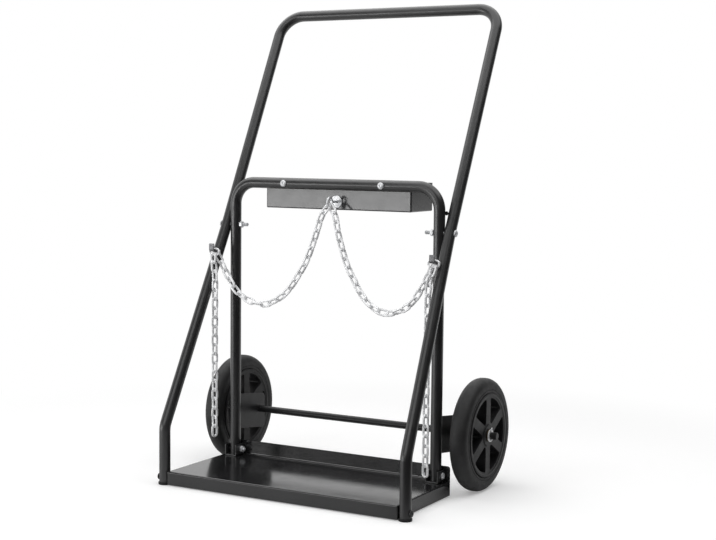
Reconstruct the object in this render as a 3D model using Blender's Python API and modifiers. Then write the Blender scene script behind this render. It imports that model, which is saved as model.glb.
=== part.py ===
# Two-wheeled cart for gas cylinders: a folded steel platform, a bent-tube rear frame, a bent-tube
# handle, a tool tray, two spoked wheels on one axle, and two hold-down chains.
# Metres, +Z up. The front of the cart is toward -Y, and left and right are the viewer's.
# The origin is on the floor, in the middle of the cart's outer box without the chains.

import math

import bmesh
import bpy
from mathutils import Vector

# Clearances between pieces that touch, and round the turning wheels
FIT_GAP = 0.0003
RUN_GAP = 0.0004

# Frame tubes
TUBE_DIAMETER = 0.025
TUBE_WALL = 0.0015
TUBE_RING = 4
BEND_STEPS = 6

# Rear frame: an upside-down U that stands on the platform
REAR_SPACING = 0.524
REAR_HEIGHT = 0.6705
REAR_BEND = 0.050

# Handle: a long U that leans back, crosses the rear legs and ends in the two front legs
HANDLE_HEIGHT = 1.067
HANDLE_LEAN = math.radians(26.3)
HANDLE_BEND = 0.055
CROSSING_HEIGHT = 0.573
FLARE_BEND = 0.300
FRONT_LEG_OFFSET = 0.2185
FOOT_BEND = 0.045

# Platform: a folded pan with flanges turned down and a low wall turned up at the rear
PAN_WIDTH = 0.580
PAN_SHEET = 0.002
PAN_FLOOR = 0.032
PAN_CLEARANCE = 0.002
PAN_FRONT_OFFSET = 0.229
PAN_WALL_HEIGHT = 0.034

# Plastic caps in the front legs
FOOT_CAP_RIM = 0.002
FOOT_CAP_HEIGHT = 0.006
FOOT_PLUG_LENGTH = 0.0045
FOOT_BOLT_MARGIN = 0.002

# Clevis brackets that hold the rear legs on the platform
CLEVIS_SHEET = 0.003
CLEVIS_HEIGHT = 0.026
CLEVIS_REACH = 0.020
CLEVIS_BOLT_RISE = 0.014

# Stops between the rear legs and the handle, above the crossing
STOP_DIAMETER = 0.009
STOP_RISE = 0.042

# Bolts and nuts
BOLT_DIAMETER = 0.008
BOLT_HEAD_DIAMETER = 0.015
BOLT_HEAD_HEIGHT = 0.0045
BOLT_END = 0.004
FRAME_BOLT_END = 0.014
NUT_WIDTH = 0.013
NUT_HEIGHT = 0.0065
BOLT_STEPS = 12

# Tool tray behind the rear frame's top bar
TRAY_WIDTH = 0.374
TRAY_DEPTH = 0.104
TRAY_HEIGHT = 0.063
TRAY_SHEET = 0.0015
TRAY_RISE = 0.006
TRAY_BOLT_INSET = 0.062

# Eye bolt that both chains hang from, its ring in front of the tray and under the top bar
EYE_DROP = 0.0385
EYE_REACH = 0.031
EYE_BORE = 0.014
EYE_WIRE = 0.0055
EYE_WASHER_DIAMETER = 0.028
EYE_WASHER_THICKNESS = 0.0015
EYE_NUT_WIDTH = 0.010
EYE_NUT_HEIGHT = 0.005
EYE_STEPS = 20
WIRE_STEPS = 8

# Wheels
WHEEL_DIAMETER = 0.250
WHEEL_TRACK = 0.638
WHEEL_STEPS = 32
TYRE_WIDTH = 0.040
TYRE_DEPTH = 0.032
TYRE_SHOULDER = 0.015
TYRE_SHOULDER_STEPS = 4
BEAD_WIDTH = 0.012
BEAD_HEIGHT = 0.004
RIM_WIDTH = 0.042
RIM_DEPTH = 0.007
WEB_THICKNESS = 0.042
HUB_LENGTH = 0.044
BOSS_DIAMETER = 0.050
SPOKES = 6
SPOKE_WIDTH = 0.023
WINDOW_MARGIN = 0.004
WINDOW_STEPS = 4

# Axle and what it carries
AXLE_DIAMETER = 0.016
AXLE_OFFSET = 0.102
AXLE_STEPS = 20
AXLE_END = 0.012
BUSH_WALL = 0.002
BUSH_LENGTH = 0.018
BUSH_FLANGE = 0.002
BUSH_FLANGE_RISE = 0.003
SPACER_WALL = 0.003
WASHER_DIAMETER = 0.028
WASHER_THICKNESS = 0.002
PIN_DIAMETER = 0.0032
PIN_RING_RADIUS = 0.004
PIN_REACH = 0.004

# Plates that carry the axle behind the rear legs
BRACKET_SHEET = 0.004
BRACKET_HEIGHT = 0.082
BRACKET_MARGIN = 0.020
BRACKET_TAIL_DROP = 0.012
BRACKET_LEG_RISE = 0.008
BRACKET_CORNER = 0.012

# Chain hooks: flat strips on the front of the handle's legs, turned up at the end
HOOK_HEIGHT = 0.5125
HOOK_WIDTH = 0.013
HOOK_SHEET = 0.003
HOOK_INSET = 0.0085
HOOK_REACH = 0.028
HOOK_TIP = 0.0185
HOOK_BEND = 0.006
HOOK_STEPS = 4

# Chains, as round as their links are on the whole: a link is 18 mm wide and 5 mm thick. The routes
# are for the right side: X from the middle, Y from the plane of the rear legs, Z from the floor.
# The swag hangs from the eye to the hook, and the tail hangs from the hook.
CHAIN_DIAMETER = 0.015
CHAIN_POINT_SPACING = 0.030
CHAIN_SWAG = [
    (0.0076, -0.0182, 0.6220), (0.0180, -0.0233, 0.5989), (0.0292, -0.0277, 0.5595),
    (0.0510, -0.0310, 0.5008), (0.0737, -0.0341, 0.4621), (0.0956, -0.0377, 0.4313),
    (0.1259, -0.0419, 0.4071), (0.1602, -0.0458, 0.3974), (0.1921, -0.0493, 0.4043),
    (0.2236, -0.0514, 0.4231), (0.2449, -0.0524, 0.4516), (0.2623, -0.0526, 0.4809),
    (0.2715, -0.0524, 0.4985), (0.2752, -0.0522, 0.5099),
]
CHAIN_TAIL = [
    (0.2795, -0.0686, 0.5110), (0.2780, -0.0690, 0.4980), (0.2746, -0.0695, 0.4740),
    (0.2722, -0.0698, 0.4480), (0.2718, -0.0700, 0.4150), (0.2718, -0.0705, 0.3300),
    (0.2718, -0.0705, 0.2400), (0.2718, -0.0705, 0.1600),
]
CHAIN_END_HEIGHT = {"left": 0.089, "right": 0.060}

SIDES = {"left": -1, "right": 1}

# Turns that lay a piece's own Z axis along X, -X or -Y, and its flat outline in the YZ or XZ plane
ALONG_X = (0, math.pi / 2, 0)
ALONG_MINUS_X = (0, -math.pi / 2, 0)
ALONG_MINUS_Y = (math.pi / 2, 0, 0)
IN_YZ = (math.pi / 2, 0, math.pi / 2)
IN_XZ = (math.pi / 2, 0, 0)


def fit_radius(radius, clearance, steps):
    # A faceted bore's flats lie inside its corners, so the corners move out until the flats clear
    return (radius + clearance) / math.cos(math.pi / steps)


# Places that follow from the sizes above
tube_radius = TUBE_DIAMETER / 2
wheel_radius = WHEEL_DIAMETER / 2
axle_radius = AXLE_DIAMETER / 2
bolt_radius = BOLT_DIAMETER / 2
pin_radius = PIN_DIAMETER / 2
chain_radius = CHAIN_DIAMETER / 2
lean_run = math.tan(HANDLE_LEAN)
handle_top_offset = (HANDLE_HEIGHT - CROSSING_HEIGHT) * lean_run
box_front = -FRONT_LEG_OFFSET - tube_radius - FOOT_CAP_RIM
box_rear = max(handle_top_offset + tube_radius, AXLE_OFFSET + wheel_radius)
rear_y = -(box_front + box_rear) / 2
front_y = rear_y - FRONT_LEG_OFFSET
axle_y = rear_y + AXLE_OFFSET
axle_z = wheel_radius
rear_x = REAR_SPACING / 2
crossing_x = rear_x + TUBE_DIAMETER + FIT_GAP
front_x = PAN_WIDTH / 2 + FIT_GAP + tube_radius
wall_y = rear_y + tube_radius + FIT_GAP
foot_bend_z = CROSSING_HEIGHT - FRONT_LEG_OFFSET / lean_run
clevis_floor_z = PAN_FLOOR + FIT_GAP
rear_foot_z = clevis_floor_z + CLEVIS_SHEET + FIT_GAP
clevis_bolt_z = clevis_floor_z + CLEVIS_BOLT_RISE
foot_plug_top = FOOT_CAP_HEIGHT + FOOT_PLUG_LENGTH
foot_bolt_z = foot_plug_top + FOOT_BOLT_MARGIN + bolt_radius
bracket_face_x = rear_x + BRACKET_SHEET / 2
wheel_x = WHEEL_TRACK / 2
rim_radius = wheel_radius - TYRE_DEPTH
bush_radius = fit_radius(axle_radius, RUN_GAP, AXLE_STEPS) + BUSH_WALL
bush_face = HUB_LENGTH / 2 + FIT_GAP + BUSH_FLANGE
washer_x = wheel_x + bush_face + RUN_GAP
pin_x = washer_x + WASHER_THICKNESS + FIT_GAP + pin_radius
axle_length = 2 * (pin_x + pin_radius + AXLE_END)
bolt_bore = fit_radius(bolt_radius, FIT_GAP, BOLT_STEPS)
axle_bore = fit_radius(axle_radius, FIT_GAP, AXLE_STEPS)
eye_z = REAR_HEIGHT - EYE_DROP
eye_radius = (EYE_BORE + EYE_WIRE) / 2
eye_wire_radius = EYE_WIRE / 2
eye_y = wall_y - EYE_REACH


def clear_scene():
    for old in list(bpy.data.objects):
        bpy.data.objects.remove(old, do_unlink=True)


def new_collection(name):
    group = bpy.data.collections.new(name)
    bpy.context.scene.collection.children.link(group)
    return group


def finish(name, colour, roughness, metallic):
    material = bpy.data.materials.new(name)
    material.use_nodes = True
    shader = material.node_tree.nodes["Principled BSDF"]
    shader.inputs["Base Color"].default_value = (*colour, 1)
    shader.inputs["Roughness"].default_value = roughness
    shader.inputs["Metallic"].default_value = metallic
    return material


clear_scene()
parts = new_collection("gas_cylinder_cart")
cutters = new_collection("cutters")

powder_coat = finish("black_powder_coat", (0.012, 0.012, 0.013), 0.32, 0.0)
rubber = finish("black_rubber", (0.016, 0.016, 0.017), 0.72, 0.0)
plastic = finish("black_plastic", (0.014, 0.014, 0.015), 0.45, 0.0)
zinc = finish("zinc_plate", (0.62, 0.63, 0.65), 0.28, 1.0)
bronze = finish("bush_bronze", (0.42, 0.27, 0.12), 0.35, 1.0)


def place(name, data, location, rotation, material):
    piece = bpy.data.objects.new(name, data)
    piece.location = location
    piece.rotation_euler = rotation
    data.materials.append(material)
    parts.objects.link(piece)
    return piece


def place_cutter(name, data, location, rotation):
    cutter = bpy.data.objects.new(name, data)
    cutter.location = location
    cutter.rotation_euler = rotation
    cutter.hide_render = True
    cutter.display_type = "WIRE"
    cutters.objects.link(cutter)
    return cutter


def boolean(piece, cutter, operation="DIFFERENCE"):
    step = piece.modifiers.new(cutter.name, "BOOLEAN")
    step.operation = operation
    step.solver = "EXACT"
    step.object = cutter


def box_mesh(name, low, high):
    shape = bmesh.new()
    bmesh.ops.create_cube(shape, size=1)
    for corner in shape.verts:
        corner.co = [low[i] if corner.co[i] < 0 else high[i] for i in range(3)]
    mesh = bpy.data.meshes.new(name)
    shape.to_mesh(mesh)
    shape.free()
    return mesh


def rod_mesh(name, radius, length, steps):
    shape = bmesh.new()
    bmesh.ops.create_cone(shape, cap_ends=True, segments=steps, radius1=radius, radius2=radius,
                          depth=length)
    mesh = bpy.data.meshes.new(name)
    shape.to_mesh(mesh)
    shape.free()
    mesh.shade_smooth()
    mesh.set_sharp_from_angle(angle=math.radians(40))
    return mesh


def curve_mesh(curve):
    # A curve becomes a mesh, with its caps welded to its walls
    guide = bpy.data.objects.new(curve.name, curve)
    bpy.context.scene.collection.objects.link(guide)
    ready = guide.evaluated_get(bpy.context.evaluated_depsgraph_get())
    mesh = bpy.data.meshes.new_from_object(ready)
    bpy.data.objects.remove(guide, do_unlink=True)
    shape = bmesh.new()
    shape.from_mesh(mesh)
    bmesh.ops.remove_doubles(shape, verts=shape.verts, dist=0.000001)
    bmesh.ops.recalc_face_normals(shape, faces=shape.faces)
    shape.to_mesh(mesh)
    shape.free()
    return mesh


def tube_curve(name, points, radius, ring, capped):
    curve = bpy.data.curves.new(name, "CURVE")
    curve.dimensions = "3D"
    curve.bevel_depth = radius
    curve.bevel_resolution = ring
    curve.use_fill_caps = capped
    line = curve.splines.new("POLY")
    line.points.add(len(points) - 1)
    for spot, point in zip(line.points, points):
        spot.co = (*point, 1)
    return curve


def flat_mesh(name, outlines, thickness):
    # A flat outline, with any further outlines inside it as holes
    curve = bpy.data.curves.new(name, "CURVE")
    curve.dimensions = "2D"
    curve.fill_mode = "BOTH"
    curve.extrude = thickness / 2
    for outline in outlines:
        line = curve.splines.new("POLY")
        line.points.add(len(outline) - 1)
        for spot, point in zip(line.points, outline):
            spot.co = (*point, 0, 1)
        line.use_cyclic_u = True
    return curve_mesh(curve)


def turned(name, profile, closed, steps, location, rotation, material):
    # The profile's points are radius and height, down the outer side
    mesh = bpy.data.meshes.new(name)
    edges = [(i, i + 1) for i in range(len(profile) - 1)]
    if closed:
        edges.append((len(profile) - 1, 0))
    mesh.from_pydata([(radius, 0, height) for radius, height in profile], edges, [])
    piece = place(name, mesh, location, rotation, material)
    screw = piece.modifiers.new("turn", "SCREW")
    screw.axis = "Z"
    screw.angle = math.tau
    screw.steps = steps
    screw.render_steps = steps
    screw.use_merge_vertices = True
    screw.merge_threshold = 0.00001
    return piece


def ring_profile(inner, outer, low, high):
    return [(outer, high), (outer, low), (inner, low), (inner, high)]


def circle(radius, steps, middle=(0, 0)):
    turns = [math.tau * i / steps for i in range(steps)]
    return [(middle[0] + radius * math.cos(a), middle[1] + radius * math.sin(a)) for a in turns]


def arc(middle, radius, start, end, steps):
    turns = [start + (end - start) * i / steps for i in range(steps + 1)]
    return [(middle[0] + radius * math.cos(a), middle[1] + radius * math.sin(a)) for a in turns]


def bent(corners):
    # A run of straight tube with an arc of the given radius at each corner, and none at the ends
    points = [Vector(corners[0][0])]
    for before, here, after in zip(corners, corners[1:], corners[2:]):
        corner = Vector(here[0])
        back = (Vector(before[0]) - corner).normalized()
        ahead = (Vector(after[0]) - corner).normalized()
        half = back.angle(ahead) / 2
        centre = corner + (back + ahead).normalized() * here[1] / math.sin(half)
        first = corner + back * here[1] / math.tan(half) - centre
        last = corner + ahead * here[1] / math.tan(half) - centre
        sweep = first.angle(last)
        steps = max(2, round(BEND_STEPS * sweep / (math.pi / 2)))
        for i in range(steps + 1):
            share = sweep * i / steps
            spoke = first * math.sin(sweep - share) + last * math.sin(share)
            points.append(centre + spoke / math.sin(sweep))
    points.append(Vector(corners[-1][0]))
    return points


def smooth_route(points, spacing):
    # Points at even steps along a smooth curve through the route's own points
    spots = [Vector(point) for point in points]
    spots = [spots[0] * 2 - spots[1], *spots, spots[-1] * 2 - spots[-2]]
    fine = []
    for a, b, c, d in zip(spots, spots[1:], spots[2:], spots[3:]):
        for i in range(24):
            t = i / 24
            fine.append(0.5 * (2 * b + (c - a) * t + (2 * a - 5 * b + 4 * c - d) * t ** 2
                               + (3 * b - a - 3 * c + d) * t ** 3))
    fine.append(spots[-2])
    reach = [0]
    for start, end in zip(fine, fine[1:]):
        reach.append(reach[-1] + (end - start).length)
    count = max(2, round(reach[-1] / spacing))
    route = []
    for i in range(count + 1):
        goal = reach[-1] * i / count
        k = min(max(j for j, r in enumerate(reach) if r <= goal + 1e-9), len(fine) - 2)
        share = (goal - reach[k]) / (reach[k + 1] - reach[k])
        route.append(fine[k].lerp(fine[k + 1], share))
    return route


def frame_tube(name, corners):
    curve = tube_curve(name, bent(corners), tube_radius, TUBE_RING, False)
    mesh = curve_mesh(curve)
    mesh.shade_smooth()
    piece = place(name, mesh, (0, 0, 0), (0, 0, 0), powder_coat)
    wall = piece.modifiers.new("wall", "SOLIDIFY")
    wall.thickness = TUBE_WALL
    wall.offset = -1
    return piece


def bolt_profile(length):
    crown = arc((0, -BOLT_HEAD_DIAMETER), math.hypot(BOLT_HEAD_DIAMETER / 2, BOLT_HEAD_DIAMETER),
                math.pi / 2, math.atan2(BOLT_HEAD_DIAMETER, BOLT_HEAD_DIAMETER / 2), 3)
    lift = BOLT_HEAD_HEIGHT - crown[0][1]
    head = [(radius, height + lift) for radius, height in crown]
    return [*head, (BOLT_HEAD_DIAMETER / 2, 0), (bolt_radius, 0), (bolt_radius, -length), (0, -length)]


def hexagon(width):
    return circle(width / 2 / math.cos(math.pi / 6), 6)


def nut(name, width, height, bore, location, rotation):
    mesh = flat_mesh(name, [hexagon(width), circle(bore, BOLT_STEPS)], height)
    return place(name, mesh, location, rotation, zinc)


def bolt_hole(name, length, location, rotation):
    return place_cutter(name, rod_mesh(name, bolt_bore, length, BOLT_STEPS), location, rotation)


# Platform: a block with the space above its floor and the space under it taken out
def make_platform():
    half = PAN_WIDTH / 2
    front = rear_y - PAN_FRONT_OFFSET
    rear = wall_y + PAN_SHEET
    top = PAN_FLOOR + PAN_WALL_HEIGHT
    pan = place("platform_pan", box_mesh("platform_pan", (-half, front, PAN_CLEARANCE),
                                         (half, rear, top)), (0, 0, 0), (0, 0, 0), powder_coat)
    above = box_mesh("above_floor", (-PAN_WIDTH, front - PAN_WIDTH, PAN_FLOOR),
                     (PAN_WIDTH, wall_y, top + PAN_WIDTH))
    below = box_mesh("under_floor", (PAN_SHEET - half, front + PAN_SHEET, PAN_CLEARANCE - PAN_FLOOR),
                     (half - PAN_SHEET, wall_y, PAN_FLOOR - PAN_SHEET))
    boolean(pan, place_cutter("above_floor", above, (0, 0, 0), (0, 0, 0)))
    boolean(pan, place_cutter("under_floor", below, (0, 0, 0), (0, 0, 0)))
    return pan


# Rear frame and handle: hollow bent tubes
def make_rear_frame():
    return frame_tube("rear_frame", [
        ((-rear_x, rear_y, rear_foot_z), 0),
        ((-rear_x, rear_y, REAR_HEIGHT), REAR_BEND),
        ((rear_x, rear_y, REAR_HEIGHT), REAR_BEND),
        ((rear_x, rear_y, rear_foot_z), 0),
    ])


def make_handle():
    foot_z = FOOT_CAP_HEIGHT + FIT_GAP
    half = [
        ((front_x, front_y, foot_z), 0),
        ((front_x, front_y, foot_bend_z), FOOT_BEND),
        ((crossing_x, rear_y, CROSSING_HEIGHT), FLARE_BEND),
        ((crossing_x, rear_y + handle_top_offset, HANDLE_HEIGHT), HANDLE_BEND),
    ]
    other = [((-x, y, z), radius) for (x, y, z), radius in reversed(half)]
    return frame_tube("handle_frame", half + other)


# The middle of a handle leg below the crossing, at a height
def handle_leg(height):
    share = (CROSSING_HEIGHT - height) / (CROSSING_HEIGHT - foot_bend_z)
    return crossing_x + (front_x - crossing_x) * share, rear_y - FRONT_LEG_OFFSET * share


# Through bolts along X, head outward, from the outer face of a leg to a nut on the inner face
def make_side_bolt(name, side, outer, inner, y, z, end):
    sign = SIDES[side]
    turn = ALONG_X if sign > 0 else ALONG_MINUS_X
    length = outer - inner + 2 * FIT_GAP + NUT_HEIGHT + end
    head_x = sign * (outer + FIT_GAP)
    nut_x = sign * (inner - FIT_GAP - NUT_HEIGHT / 2)
    turned(f"{name}_bolt_{side}", bolt_profile(length), False, BOLT_STEPS, (head_x, y, z), turn, zinc)
    nut(f"{name}_nut_{side}", NUT_WIDTH, NUT_HEIGHT, bolt_bore, (nut_x, y, z), IN_YZ)
    middle = sign * (outer + inner) / 2
    return bolt_hole(f"{name}_hole_{side}", outer - inner + TUBE_DIAMETER, (middle, y, z), ALONG_X)


def make_frame_joints(pan, rear_frame, handle):
    for side in SIDES:
        crossing = make_side_bolt("frame", side, crossing_x + tube_radius, rear_x - tube_radius,
                                  rear_y, CROSSING_HEIGHT, FRAME_BOLT_END)
        boolean(rear_frame, crossing)
        boolean(handle, crossing)
        foot = make_side_bolt("foot", side, front_x + tube_radius, PAN_WIDTH / 2 - PAN_SHEET,
                              front_y, foot_bolt_z, BOLT_END)
        boolean(handle, foot)
        boolean(pan, foot)


# Clevis brackets: a U of sheet under and beside each rear leg, with a bolt across
def make_clevis(side, rear_frame):
    sign = SIDES[side]
    inner = tube_radius + FIT_GAP
    outer = inner + CLEVIS_SHEET
    outline = [(-outer, 0), (outer, 0), (outer, CLEVIS_HEIGHT), (inner, CLEVIS_HEIGHT),
               (inner, CLEVIS_SHEET), (-inner, CLEVIS_SHEET), (-inner, CLEVIS_HEIGHT),
               (-outer, CLEVIS_HEIGHT)]
    depth = CLEVIS_REACH + tube_radius
    middle_y = rear_y + (tube_radius - CLEVIS_REACH) / 2
    mesh = flat_mesh(f"leg_clevis_{side}", [outline], depth)
    clevis = place(f"leg_clevis_{side}", mesh, (sign * rear_x, middle_y, clevis_floor_z), IN_XZ,
                   powder_coat)
    hole = make_side_bolt("leg", side, rear_x + outer, rear_x - outer, rear_y, clevis_bolt_z, BOLT_END)
    boolean(clevis, hole)
    boolean(rear_frame, hole)


# Plastic cap in the foot of each front leg, its rim cut flat beside the platform
def make_foot_cap(side):
    sign = SIDES[side]
    tube_sides = 4 + 2 * TUBE_RING
    plug = (tube_radius - TUBE_WALL) * math.cos(math.pi / tube_sides) - FIT_GAP
    rim = tube_radius + FOOT_CAP_RIM
    profile = [(0, foot_plug_top), (plug, foot_plug_top), (plug, FOOT_CAP_HEIGHT),
               (rim, FOOT_CAP_HEIGHT), (rim, 0), (0, 0)]
    cap = turned(f"foot_cap_{side}", profile, False, AXLE_STEPS, (sign * front_x, front_y, 0),
                 (0, 0, 0), plastic)
    edge = PAN_WIDTH / 2 + FIT_GAP
    ends = sorted([sign * edge, sign * (edge - PAN_WIDTH)])
    beside = box_mesh(f"beside_pan_{side}", (ends[0], front_y - PAN_WIDTH, -PAN_WIDTH),
                      (ends[1], front_y + PAN_WIDTH, PAN_WIDTH))
    boolean(cap, place_cutter(f"beside_pan_{side}", beside, (0, 0, 0), (0, 0, 0)))


# Stop: a short stud from the rear leg to the handle leg, which keeps the handle from folding back
def make_frame_stop(side):
    sign = SIDES[side]
    across = Vector((crossing_x - rear_x, STOP_RISE * lean_run, 0))
    ahead = across.normalized()
    slant = ahead.y * math.sin(HANDLE_LEAN)
    square = math.sqrt(1 - slant ** 2)
    start = tube_radius + FIT_GAP
    end = across.length - tube_radius / square - STOP_DIAMETER / 2 * slant / square - FIT_GAP
    middle = ahead * (start + end) / 2
    mesh = rod_mesh(f"frame_stop_{side}", STOP_DIAMETER / 2, end - start, BOLT_STEPS)
    spot = (sign * (rear_x + middle.x), rear_y + middle.y, CROSSING_HEIGHT + STOP_RISE)
    place(f"frame_stop_{side}", mesh, spot, (math.pi / 2, 0, -sign * math.atan2(ahead.x, ahead.y)),
          powder_coat)


# Tool tray: an open box bolted behind the top bar
def make_tray(rear_frame):
    half = TRAY_WIDTH / 2
    top = REAR_HEIGHT + TRAY_RISE
    low = top - TRAY_HEIGHT
    rear = wall_y + TRAY_DEPTH
    tray = place("tool_tray", box_mesh("tool_tray", (-half, wall_y, low), (half, rear, top)),
                 (0, 0, 0), (0, 0, 0), powder_coat)
    inside = box_mesh("tray_inside", (TRAY_SHEET - half, wall_y + TRAY_SHEET, low + TRAY_SHEET),
                      (half - TRAY_SHEET, rear - TRAY_SHEET, top + TRAY_HEIGHT))
    boolean(tray, place_cutter("tray_inside", inside, (0, 0, 0), (0, 0, 0)))
    inner_y = wall_y + TRAY_SHEET
    head_y = rear_y - tube_radius - FIT_GAP
    length = inner_y + FIT_GAP + NUT_HEIGHT + BOLT_END - head_y
    for side, sign in SIDES.items():
        x = sign * (TRAY_WIDTH / 2 - TRAY_BOLT_INSET)
        turned(f"tray_bolt_{side}", bolt_profile(length), False, BOLT_STEPS, (x, head_y, REAR_HEIGHT),
               ALONG_MINUS_Y, zinc)
        nut(f"tray_nut_{side}", NUT_WIDTH, NUT_HEIGHT, bolt_bore,
            (x, inner_y + FIT_GAP + NUT_HEIGHT / 2, REAR_HEIGHT), IN_XZ)
        hole = bolt_hole(f"tray_hole_{side}", 4 * TUBE_DIAMETER, (x, rear_y, REAR_HEIGHT), ALONG_MINUS_Y)
        boolean(rear_frame, hole)
        boolean(tray, hole)
    return tray


# Eye bolt through the tray's front wall, under the top bar
def make_eye(tray):
    shank_end = wall_y + TRAY_SHEET + FIT_GAP + EYE_NUT_HEIGHT + BOLT_END
    ring = bpy.data.curves.new("eye_bolt", "CURVE")
    ring.dimensions = "3D"
    ring.bevel_depth = eye_wire_radius
    ring.bevel_resolution = WIRE_STEPS // 2 - 2
    line = ring.splines.new("POLY")
    line.points.add(EYE_STEPS - 1)
    for spot, (across, up) in zip(line.points, circle(eye_radius, EYE_STEPS, (eye_y, eye_z))):
        spot.co = (0, across, up, 1)
    line.use_cyclic_u = True
    eye = place("eye_bolt", curve_mesh(ring), (0, 0, 0), (0, 0, 0), zinc)
    start = eye_y + eye_radius
    shank = rod_mesh("eye_shank", eye_wire_radius, shank_end - start, BOLT_STEPS)
    boolean(eye, place_cutter("eye_shank", shank, (0, (start + shank_end) / 2, eye_z), ALONG_MINUS_Y),
            "UNION")
    bore = fit_radius(eye_wire_radius, FIT_GAP, BOLT_STEPS)
    hole = place_cutter("eye_hole", rod_mesh("eye_hole", bore, TUBE_DIAMETER, BOLT_STEPS),
                        (0, wall_y, eye_z), ALONG_MINUS_Y)
    boolean(tray, hole)
    turned("eye_washer", ring_profile(bore, EYE_WASHER_DIAMETER / 2, 0, EYE_WASHER_THICKNESS), True,
           BOLT_STEPS, (0, wall_y - FIT_GAP, eye_z), ALONG_MINUS_Y, zinc)
    nut("eye_nut", EYE_NUT_WIDTH, EYE_NUT_HEIGHT, bore,
        (0, wall_y + TRAY_SHEET + FIT_GAP + EYE_NUT_HEIGHT / 2, eye_z), IN_XZ)


# Plates behind the rear legs that carry the axle
def make_axle_bracket(side):
    near = wall_y - axle_y
    far = BRACKET_MARGIN
    middle = BRACKET_LEG_RISE
    half = BRACKET_HEIGHT / 2
    tail = middle - BRACKET_TAIL_DROP
    corner = BRACKET_CORNER
    rear_top = arc((far - corner, tail + half - corner), corner, 0, math.pi / 2, 3)
    rear_low = arc((far - corner, tail - half + corner), corner, -math.pi / 2, 0, 3)
    outline = [(near, middle - half), *rear_low, *rear_top, (near, middle + half)]
    mesh = flat_mesh(f"axle_bracket_{side}", [outline, circle(axle_bore, AXLE_STEPS)], BRACKET_SHEET)
    place(f"axle_bracket_{side}", mesh, (SIDES[side] * rear_x, axle_y, axle_z), IN_YZ, powder_coat)


def make_axle():
    mesh = rod_mesh("axle", axle_radius, axle_length, AXLE_STEPS)
    axle = place("axle", mesh, (0, axle_y, axle_z), ALONG_X, powder_coat)
    bore = fit_radius(pin_radius, FIT_GAP, WIRE_STEPS)
    for side, sign in SIDES.items():
        turn = ALONG_X if sign > 0 else ALONG_MINUS_X
        hole = rod_mesh(f"pin_hole_{side}", bore, 2 * AXLE_DIAMETER, WIRE_STEPS)
        boolean(axle, place_cutter(f"pin_hole_{side}", hole, (sign * pin_x, axle_y, axle_z), (0, 0, 0)))
        spacer_start = bracket_face_x + FIT_GAP
        spacer_end = wheel_x - bush_face - RUN_GAP
        spacer = ring_profile(axle_bore, axle_bore + SPACER_WALL, spacer_start, spacer_end)
        turned(f"axle_spacer_{side}", spacer, True, AXLE_STEPS, (0, axle_y, axle_z), turn, powder_coat)
        washer = ring_profile(axle_bore, WASHER_DIAMETER / 2, washer_x, washer_x + WASHER_THICKNESS)
        turned(f"axle_washer_{side}", washer, True, AXLE_STEPS, (0, axle_y, axle_z), turn, zinc)
        make_split_pin(side)


# Split pin: a wire down through the axle, with a ring left standing above it
def make_split_pin(side):
    x = SIDES[side] * pin_x
    foot = axle_z - axle_radius - PIN_REACH
    neck = axle_z + axle_radius + PIN_REACH
    ring = arc((axle_y + PIN_RING_RADIUS, neck), PIN_RING_RADIUS, math.pi, -math.pi / 3, 8)
    points = [(x, axle_y, foot), (x, axle_y, axle_z), *[(x, y, z) for y, z in ring]]
    curve = tube_curve(f"split_pin_{side}", points, pin_radius, WIRE_STEPS // 2 - 2, True)
    place(f"split_pin_{side}", curve_mesh(curve), (0, 0, 0), (0, 0, 0), zinc)


# Wheels: a rubber tyre on a moulded hub with spokes, turning on two flanged bushes
def tyre_profile():
    half = TYRE_WIDTH / 2
    seat = rim_radius + FIT_GAP
    groove = seat + BEAD_HEIGHT
    groove_half = BEAD_WIDTH / 2 + FIT_GAP
    edge = wheel_radius - TYRE_SHOULDER
    upper = arc((edge, half - TYRE_SHOULDER), TYRE_SHOULDER, math.pi / 2, 0, TYRE_SHOULDER_STEPS)
    lower = arc((edge, TYRE_SHOULDER - half), TYRE_SHOULDER, 0, -math.pi / 2, TYRE_SHOULDER_STEPS)
    return [(seat, half), *upper, *lower, (seat, -half), (seat, -groove_half), (groove, -groove_half),
            (groove, groove_half), (seat, groove_half)]


def hub_profile():
    boss = BOSS_DIAMETER / 2
    bore = fit_radius(bush_radius, FIT_GAP, AXLE_STEPS)
    inner = rim_radius - RIM_DEPTH
    upper = [(boss, HUB_LENGTH / 2), (boss, WEB_THICKNESS / 2), (inner, WEB_THICKNESS / 2),
             (inner, RIM_WIDTH / 2), (rim_radius, RIM_WIDTH / 2), (rim_radius, BEAD_WIDTH / 2),
             (rim_radius + BEAD_HEIGHT, BEAD_WIDTH / 2)]
    lower = [(radius, -height) for radius, height in reversed(upper)]
    return [*upper, *lower, (bore, -HUB_LENGTH / 2), (bore, HUB_LENGTH / 2)]


def window_outline(turn):
    low = BOSS_DIAMETER / 2 + WINDOW_MARGIN
    high = rim_radius - RIM_DEPTH - WINDOW_MARGIN
    half_pitch = math.pi / SPOKES
    low_half = half_pitch - math.asin(SPOKE_WIDTH / 2 / low)
    high_half = half_pitch - math.asin(SPOKE_WIDTH / 2 / high)
    outer = arc((0, 0), high, turn - high_half, turn + high_half, WINDOW_STEPS)
    inner = arc((0, 0), low, turn + low_half, turn - low_half, WINDOW_STEPS // 2)
    return outer + inner


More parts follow.
